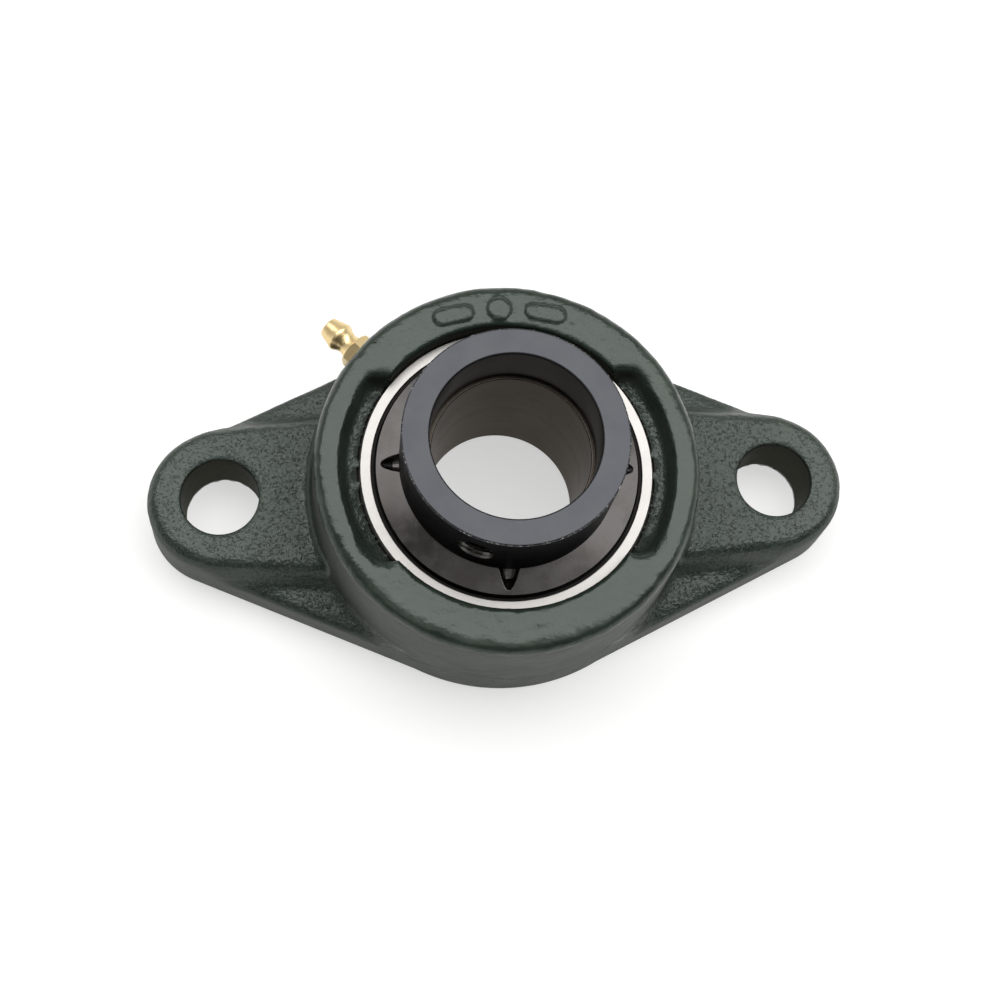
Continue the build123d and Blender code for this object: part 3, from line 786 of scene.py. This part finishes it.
def nipple():
    """The grease nipple: shank, chamfered hexagon, waisted neck, coupling head and bore."""
    hex_low = NIPPLE_SEAT_REACH
    hex_high = hex_low + NIPPLE_HEX_HEIGHT
    corner = NIPPLE_HEX_FLATS / 2 / math.cos(math.radians(30))
    spots = np.array(NIPPLE_PROFILE)

    def outline(turns, height):
        """The plain shank, then the chamfered hexagon, then the turned profile."""
        if height < hex_low:
            return np.full(len(turns), NIPPLE_SHANK_R)
        if height < hex_high:
            ends = min(height - hex_low, hex_high - height)
            return np.minimum(hexagon(turns, NIPPLE_HEX_FLATS), corner - NIPPLE_HEX_CHAMFER + ends * 1.6)
        return np.full(len(turns), np.interp(height, spots[:, 1], spots[:, 0]))

    rows = [NIPPLE_SHANK_START, hex_low - 1e-4]
    rows += list(np.linspace(hex_low, hex_low + 0.5, 6))
    rows += list(np.linspace(hex_high - 0.5, hex_high - 1e-4, 6))
    rows += list(np.unique(np.concatenate([np.linspace(hex_high, NIPPLE_TIP_REACH, 44), spots[:, 1]])))
    body = column("nipple_turned_body", rows, outline, turns_round(MEDIUM))

    def inside(turns, height):
        if NIPPLE_SPRING_START < height <= NIPPLE_THROAT_REACH:
            return np.full(len(turns), NIPPLE_BORE_R)
        return np.full(len(turns), NIPPLE_FEED_R + max(0, height - NIPPLE_MOUTH_REACH))

    heights = (NIPPLE_SHANK_START - 1, NIPPLE_SPRING_START, NIPPLE_SPRING_START + 1e-3, NIPPLE_THROAT_REACH,
               NIPPLE_THROAT_REACH + 1e-3, NIPPLE_MOUTH_REACH, NIPPLE_TIP_REACH + 1)
    cut_out(body, column("bore_cutter", heights, inside, turns_round(COARSE)))
    shade(body.data, 28.0)
    return lay_radially(body, GREASE_ANGLE, CENTRE_HEIGHT)


# ---------------------------------------------------------------- shader helpers

class Nodes:
    """A short way to write a shader's node tree."""

    def __init__(self, tree):
        self.tree = tree
        self.tree.nodes.clear()

    def add(self, kind, settings=None, **inputs):
        """Add a node; settings are its properties, inputs its sockets' values or links."""
        node = self.tree.nodes.new("ShaderNode" + kind)
        for key, value in (settings or {}).items():
            setattr(node, key, value)
        for key, value in inputs.items():
            self.put(node, key, value)
        return node

    def put(self, node, key, value):
        """Set or link one input, named with underscores for spaces, or i0, i1 for its number."""
        if key[0] == "i" and key[1:].isdigit():
            socket = node.inputs[int(key[1:])]
        else:
            socket = node.inputs[key.replace("_", " ")]
        if isinstance(value, bpy.types.NodeSocket):
            self.tree.links.new(value, socket)
        else:
            socket.default_value = value

    def math(self, kind, a, b=0.0, clamp=False):
        """A sum, product or other arithmetic on two numbers."""
        return self.add("Math", {"operation": kind, "use_clamp": clamp}, i0=a, i1=b).outputs[0]

    def ramp(self, value, low, high, start=0.0, end=1.0):
        """A number between low and high turned smoothly into one between start and end."""
        return self.add("MapRange", {"interpolation_type": "SMOOTHSTEP"}, Value=value, From_Min=low,
                        From_Max=high, To_Min=start, To_Max=end).outputs[0]

    def mix(self, factor, a, b):
        """Blend two colours."""
        return self.add("Mix", {"data_type": "RGBA"}, i0=factor, i6=a, i7=b).outputs[2]

    def place(self):
        """The object's own coordinates."""
        return self.add("TexCoord").outputs["Object"]

    def noise(self, place, size, detail=2.0, roughness=0.5):
        """Noise with lumps about size mm across."""
        return self.add("TexNoise", None, Vector=place, Scale=1.0 / (size * MM), Detail=detail,
                        Roughness=roughness).outputs[0]

    def kept(self, name):
        """A number kept on the mesh's points."""
        return self.add("Attribute", {"attribute_name": name}).outputs["Fac"]

    def bump(self, height, depth, strength=1.0, below=None):
        """A bump whose full height is depth mm."""
        node = self.add("Bump", None, Strength=strength, Distance=depth * MM, Height=height)
        if below:
            self.put(node, "Normal", below)
        return node.outputs[0]

    def reach(self, place):
        """How far a point is from the shaft axis, and its height, in metres."""
        parts = self.add("SeparateXYZ", None, Vector=place).outputs
        squares = self.math("ADD", self.math("MULTIPLY", parts[0], parts[0]),
                            self.math("MULTIPLY", parts[1], parts[1]))
        return self.math("SQRT", squares), parts[2]

    def turned_lines(self, reach, height, size, detail=3.0, roughness=0.7):
        """Noise that depends only on reach and height, so that it makes fine rings round the axis."""
        along = self.add("CombineXYZ", None, X=reach, Y=height).outputs[0]
        return self.noise(along, size, detail, roughness)

    def surface(self, **inputs):
        """The principled shader and the output."""
        shader = self.add("BsdfPrincipled", None, **inputs)
        self.add("OutputMaterial", None, Surface=shader.outputs[0])


def material(name):
    """A new material and its empty node tree."""
    made = bpy.data.materials.new(name)
    made.use_nodes = True
    return made, Nodes(made.node_tree)


# ---------------------------------------------------------------- materials

def housing_paint():
    """Dark green gloss paint over sand-cast iron, bare iron on the machined faces."""
    made, nodes = material("housing_paint")
    place = nodes.place()
    grain = nodes.kept("grain")
    bare = nodes.kept("bare")
    dull = nodes.kept("dull")
    patches = nodes.noise(place, 9.0, 3.0, 0.6)
    pebbles = nodes.noise(place, 0.78, 3.0, 0.55)
    creases = nodes.ramp(nodes.noise(place, 0.62, 3.0, 0.6), 0.44, 0.34)
    bump = nodes.bump(pebbles, 0.33, grain)
    bump = nodes.bump(creases, -0.08, nodes.ramp(grain, 0.1, 1.05, 0.12, 1.0), bump)
    bump = nodes.bump(nodes.noise(place, 2.6, 2.0), 0.17, 0.7, bump)
    base = nodes.mix(nodes.ramp(patches, 0.35, 0.7), (0.0135, 0.0205, 0.0145, 1), (0.022, 0.032, 0.0235, 1))
    # the crease pits of the sand skin are darkened in the colour: painted shade
    crease_shade = nodes.math("MULTIPLY", creases, nodes.math("MULTIPLY", grain, 0.5))
    base = nodes.mix(crease_shade, base, (0.006, 0.009, 0.006, 1))
    iron = nodes.mix(nodes.noise(place, 2.0, 4.0, 0.6), (0.12, 0.118, 0.112, 1), (0.20, 0.195, 0.185, 1))
    # the greyer colour on outer walls facing sideways and downwards is a painted reflection of the floor
    colour = nodes.mix(bare, nodes.mix(nodes.kept("painted_floor_sheen"), base, (0.028, 0.032, 0.025, 1)), iron)
    rough = nodes.math("ADD", nodes.ramp(patches, 0.3, 0.75, 0.18, 0.25), nodes.math("MULTIPLY", bare, 0.2))
    rough = nodes.math("ADD", rough, nodes.math("MULTIPLY", dull, 0.40))
    nodes.surface(Base_Color=colour, Roughness=rough, Metallic=nodes.math("MULTIPLY", bare, 0.85),
                  Specular_Tint=(0.93, 1.0, 0.94, 1), Normal=bump)
    return made


def hole_wall_shade_paint():
    """The same paint, thin and dull, on the walls of the bolt holes and the bore, made dark as painted
    shade.
    """
    made, nodes = material("housing_paint_hole_shade")
    place = nodes.place()
    streaks = nodes.noise(place, 1.8, 4.0, 0.6)
    # dark colour on the hole and bore walls: partly thin dull paint, partly painted shade
    colour = nodes.mix(nodes.ramp(streaks, 0.3, 0.75), (0.037, 0.038, 0.032, 1), (0.060, 0.059, 0.050, 1))
    nodes.surface(Base_Color=colour, Roughness=nodes.ramp(streaks, 0.3, 0.8, 0.45, 0.6), Metallic=1.0,
                  Specular_Tint=(0.5, 0.5, 0.48, 1),
                  Normal=nodes.bump(nodes.noise(place, 0.7, 3.0), 0.06, 0.7))
    return made


def turned_steel(name, dark, light, roughness, line, depth, edge=(1.0, 1.0, 1.0)):
    """Steel finished on a lathe or grinder: fine rings round the shaft axis and faint stains."""
    made, nodes = material(name)
    place = nodes.place()
    reach, height = nodes.reach(place)
    lines = nodes.turned_lines(reach, height, line)
    stains = nodes.noise(place, 6.0, 4.0, 0.6)
    colour = nodes.mix(nodes.ramp(stains, 0.3, 0.75), (*dark, 1), (*light, 1))
    rough = nodes.math("ADD", nodes.ramp(lines, 0.3, 0.7, roughness - 0.05, roughness + 0.05),
                       nodes.ramp(stains, 0.3, 0.8, -0.02, 0.04))
    nodes.surface(Base_Color=colour, Roughness=rough, Metallic=1.0, Specular_Tint=(*edge, 1),
                  Normal=nodes.bump(lines, depth, 0.6))
    return made


def black_oxide():
    """Black-oxide steel: near-black and faintly blue, browner in the bore, worn bright along the top rim."""
    made, nodes = material("black_oxide")
    place = nodes.place()
    reach, height = nodes.reach(place)
    lines = nodes.turned_lines(reach, height, 0.25)
    speckle = nodes.noise(place, 0.45, 2.0, 0.6)
    stains = nodes.noise(place, 7.0, 4.0, 0.6)
    base = nodes.mix(nodes.ramp(stains, 0.3, 0.75), (0.047, 0.048, 0.053, 1), (0.057, 0.059, 0.064, 1))
    inner = nodes.ramp(reach, (COLLAR_BORE_R + 0.15) * MM, (COLLAR_BORE_R + 0.05) * MM)
    base = nodes.mix(inner, base, (0.043, 0.040, 0.036, 1))
    off_rim = nodes.math("ABSOLUTE", nodes.math("SUBTRACT", reach, (COLLAR_R - 0.10) * MM))
    at_top = nodes.ramp(height, (COLLAR_TOP_Z - 0.35) * MM, (COLLAR_TOP_Z - 0.15) * MM)
    rim = nodes.math("MULTIPLY", nodes.ramp(off_rim, 0.18 * MM, 0.06 * MM), at_top)
    chips = nodes.ramp(nodes.noise(place, 2.5, 2.0), 0.40, 0.62, 0.35, 1.0)
    flecks = nodes.ramp(speckle, 0.54, 0.64)
    worn = nodes.math("MULTIPLY", nodes.math("MULTIPLY", rim, chips), flecks, clamp=True)
    colour = nodes.mix(worn, base, (0.62, 0.60, 0.58, 1))
    rough = nodes.ramp(stains, 0.3, 0.8, 0.28, 0.35)
    relief = nodes.math("ADD", lines, nodes.math("MULTIPLY", speckle, 0.5))
    nodes.surface(Base_Color=colour, Roughness=rough, Metallic=1.0, Specular_Tint=(0.5, 0.5, 0.5, 1),
                  Normal=nodes.bump(relief, 0.012, 0.5))
    return made


def thread_steel():
    """Freshly cut thread: darker steel with a slight shine."""
    made, nodes = material("tapped_thread_steel")
    place = nodes.place()
    oil = nodes.noise(place, 0.8, 3.0, 0.6)
    nodes.surface(Base_Color=nodes.mix(oil, (0.08, 0.076, 0.070, 1), (0.14, 0.133, 0.125, 1)),
                  Roughness=nodes.ramp(oil, 0.3, 0.8, 0.24, 0.34), Metallic=1.0,
                  Specular_Tint=(0.7, 0.7, 0.7, 1), Normal=nodes.bump(nodes.noise(place, 0.2), 0.01, 0.4))
    return made


def slinger_steel():
    """Dull pressed steel with drawn lines and faint stains."""
    made, nodes = material("slinger_steel")
    place = nodes.place()
    reach, height = nodes.reach(place)
    lines = nodes.turned_lines(reach, height, 0.4, 2.0, 0.6)
    stains = nodes.noise(place, 5.0, 3.0, 0.6)
    colour = nodes.mix(nodes.ramp(stains, 0.3, 0.75), (0.058, 0.054, 0.051, 1), (0.085, 0.081, 0.079, 1))
    nodes.surface(Base_Color=colour, Roughness=nodes.ramp(stains, 0.3, 0.8, 0.24, 0.34), Metallic=1.0,
                  Specular_Tint=(0.6, 0.6, 0.6, 1), Normal=nodes.bump(lines, 0.015, 0.5))
    return made


def brass():
    """Bright brass with a faint grain and darker tarnish."""
    made, nodes = material("nipple_brass")
    place = nodes.place()
    tarnish = nodes.noise(place, 1.6, 4.0, 0.6)
    colour = nodes.mix(nodes.ramp(tarnish, 0.35, 0.8), (0.84, 0.66, 0.36, 1), (0.72, 0.52, 0.24, 1))
    nodes.surface(Base_Color=colour, Roughness=nodes.ramp(tarnish, 0.3, 0.8, 0.28, 0.38), Metallic=1.0,
                  Normal=nodes.bump(nodes.noise(place, 0.25, 3.0), 0.01, 0.5))
    return made


def rubber():
    """Black seal rubber."""
    made, nodes = material("seal_rubber")
    place = nodes.place()
    dust = nodes.noise(place, 1.2, 4.0, 0.6)
    nodes.surface(Base_Color=nodes.mix(dust, (0.010, 0.010, 0.010, 1), (0.022, 0.021, 0.020, 1)),
                  Roughness=nodes.ramp(dust, 0.3, 0.8, 0.5, 0.65),
                  Normal=nodes.bump(nodes.noise(place, 0.3), 0.02, 0.4))
    return made


def seal_shield():
    """Blackened pressed steel, in the shade under the slinger."""
    made, nodes = material("seal_shield_black")
    place = nodes.place()
    stains = nodes.noise(place, 1.5, 3.0, 0.6)
    nodes.surface(Base_Color=nodes.mix(stains, (0.006, 0.006, 0.006, 1), (0.014, 0.013, 0.012, 1)),
                  Roughness=nodes.ramp(stains, 0.3, 0.8, 0.40, 0.55), Metallic=1.0,
                  Specular_Tint=(0.5, 0.5, 0.5, 1), Normal=nodes.bump(nodes.noise(place, 0.4), 0.02, 0.4))
    return made


# ---------------------------------------------------------------- camera, light and floor

def make_camera():
    """The camera at the reference's viewing angle."""
    data = bpy.data.cameras.new("camera")
    camera = new_object("camera", data)
    place = Vector(CAMERA_PLACE) * MM
    aim = Vector(CAMERA_AIM) * MM
    data.lens = CAMERA_LENS
    data.sensor_width = 36.0
    data.clip_start = 0.01
    camera.location = place
    camera.rotation_mode = "QUATERNION"
    roll = Quaternion((0, 0, 1), math.radians(CAMERA_ROLL))
    camera.rotation_quaternion = (aim - place).to_track_quat("-Z", "Y") @ roll
    bpy.context.scene.camera = camera


def softbox(name, place, size, radiance):
    """A rectangular studio lamp of a given brightness, facing the object; sizes in metres."""
    data = bpy.data.lights.new(name, "AREA")
    data.shape = "RECTANGLE"
    data.size, data.size_y = size
    data.energy = radiance * math.pi * size[0] * size[1]
    lamp = new_object(name, data)
    lamp.location = place
    lamp.rotation_mode = "QUATERNION"
    lamp.rotation_quaternion = (-Vector(place)).to_track_quat("-Z", "Y")


def make_sweep():
    """The surroundings: a bright horizon all round, taller behind the object than on the camera's side."""
    world = bpy.data.worlds.new("studio")
    bpy.context.scene.world = world
    world.use_nodes = True
    nodes = Nodes(world.node_tree)
    towards = nodes.add("SeparateXYZ", None, Vector=nodes.add("TexCoord").outputs["Generated"]).outputs
    behind = nodes.ramp(towards[1], -0.6, 0.0)
    sweep = nodes.ramp(towards[2], 0.12, 0.85, 0.85, 0.12)
    front = nodes.ramp(towards[2], 0.08, 0.25, 0.85, 0.10)
    level = nodes.math("ADD", nodes.math("MULTIPLY", sweep, behind),
                       nodes.math("MULTIPLY", front, nodes.math("SUBTRACT", 1.0, behind)))
    sky = nodes.add("Background", None, Color=(1.0, 1.0, 0.99, 1), Strength=level)
    nodes.add("OutputWorld", None, Surface=sky.outputs[0])


def make_floor():
    """The pale paper floor."""
    half = FLOOR_WIDTH / 2
    corners = [(-half, -half, 0), (half, -half, 0), (half, half, 0), (-half, half, 0)]
    mesh = bpy.data.meshes.new("floor")
    mesh.from_pydata(corners, [], [(0, 1, 2, 3)])
    floor = new_object("floor", mesh)
    floor.location.z = -FLOOR_GAP
    paper, nodes = material("floor_paper")
    fibre = nodes.noise(nodes.place(), 2.0, 3.0)
    nodes.surface(Base_Color=nodes.mix(fibre, (0.49, 0.49, 0.487, 1), (0.51, 0.51, 0.507, 1)), Roughness=0.9,
                  Emission_Color=(1, 1, 0.995, 1), Emission_Strength=0.54)
    mesh.materials.append(paper)


# ---------------------------------------------------------------- assembly

def finish_with(piece, finish):
    """Give a piece one material."""
    piece.data.materials.clear()
    piece.data.materials.append(finish)


def fit(piece, body, node, finish):
    """Put a piece on its body in place of a CAD node."""
    finish_with(piece, finish)
    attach(piece, body)
    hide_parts(node)


make_camera()
make_sweep()
make_floor()
softbox("overhead", OVERHEAD_PLACE, OVERHEAD_SIZE, OVERHEAD_RADIANCE)
softbox("front_fill", FILL_PLACE, FILL_SIZE, FILL_RADIANCE)
bpy.context.scene.view_settings.view_transform = "Standard"

bright = turned_steel("ring_steel", (0.36, 0.345, 0.33), (0.44, 0.425, 0.405), 0.42, 0.12, 0.010)
race = turned_steel("ring_steel_inner", (0.054, 0.046, 0.039), (0.078, 0.068, 0.057), 0.36, 0.35, 0.012,
                    (0.62, 0.60, 0.58))
balls = turned_steel("ball_steel", (0.55, 0.54, 0.53), (0.62, 0.61, 0.60), 0.12, 0.5, 0.002)
cage = turned_steel("cage_steel", (0.35, 0.33, 0.31), (0.45, 0.43, 0.41), 0.35, 0.6, 0.01)
dull = slinger_steel()
oxide = black_oxide()
cut_thread = thread_steel()
gold = brass()
lip = rubber()
shield = seal_shield()

casting, shaded_hole_faces = cast_housing()
fit(casting, "casting", "housing", housing_paint())
# the bolt-hole and bore walls take the darker paint, which is painted shade
casting.data.materials.append(hole_wall_shade_paint())
casting.data.polygons.foreach_set("material_index", shaded_hole_faces)
fit(outer_ring(), "insert", "outer_ring", bright)
fit(inner_ring(), "shaft_ring", "inner_ring", race)
front = slinger()
fit(rear_copy(front, "rear_slinger_disc"), "shaft_ring", "rear_slinger", dull)
fit(front, "shaft_ring", "front_slinger", dull)
locking_collar = collar()
fit(locking_collar, "collar", "eccentric_collar", oxide)
locking_collar.data.materials.append(cut_thread)
locking_collar.data.polygons.foreach_set("material_index", tapped_faces(locking_collar.data))
fit(set_screw(), "screw", "set_screw", cut_thread)
fit(nipple(), "casting", "grease_nipple_body", gold)

finishes = {"ball": balls, "cage": cage, "front_seal_lip": lip, "rear_seal_lip": lip,
            "front_seal_core": shield, "rear_seal_core": shield, "nipple": balls}
for name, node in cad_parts.items():
    for start, finish in finishes.items():
        if name.startswith(start) and name != "grease_nipple_body":
            finish_with(node, finish)
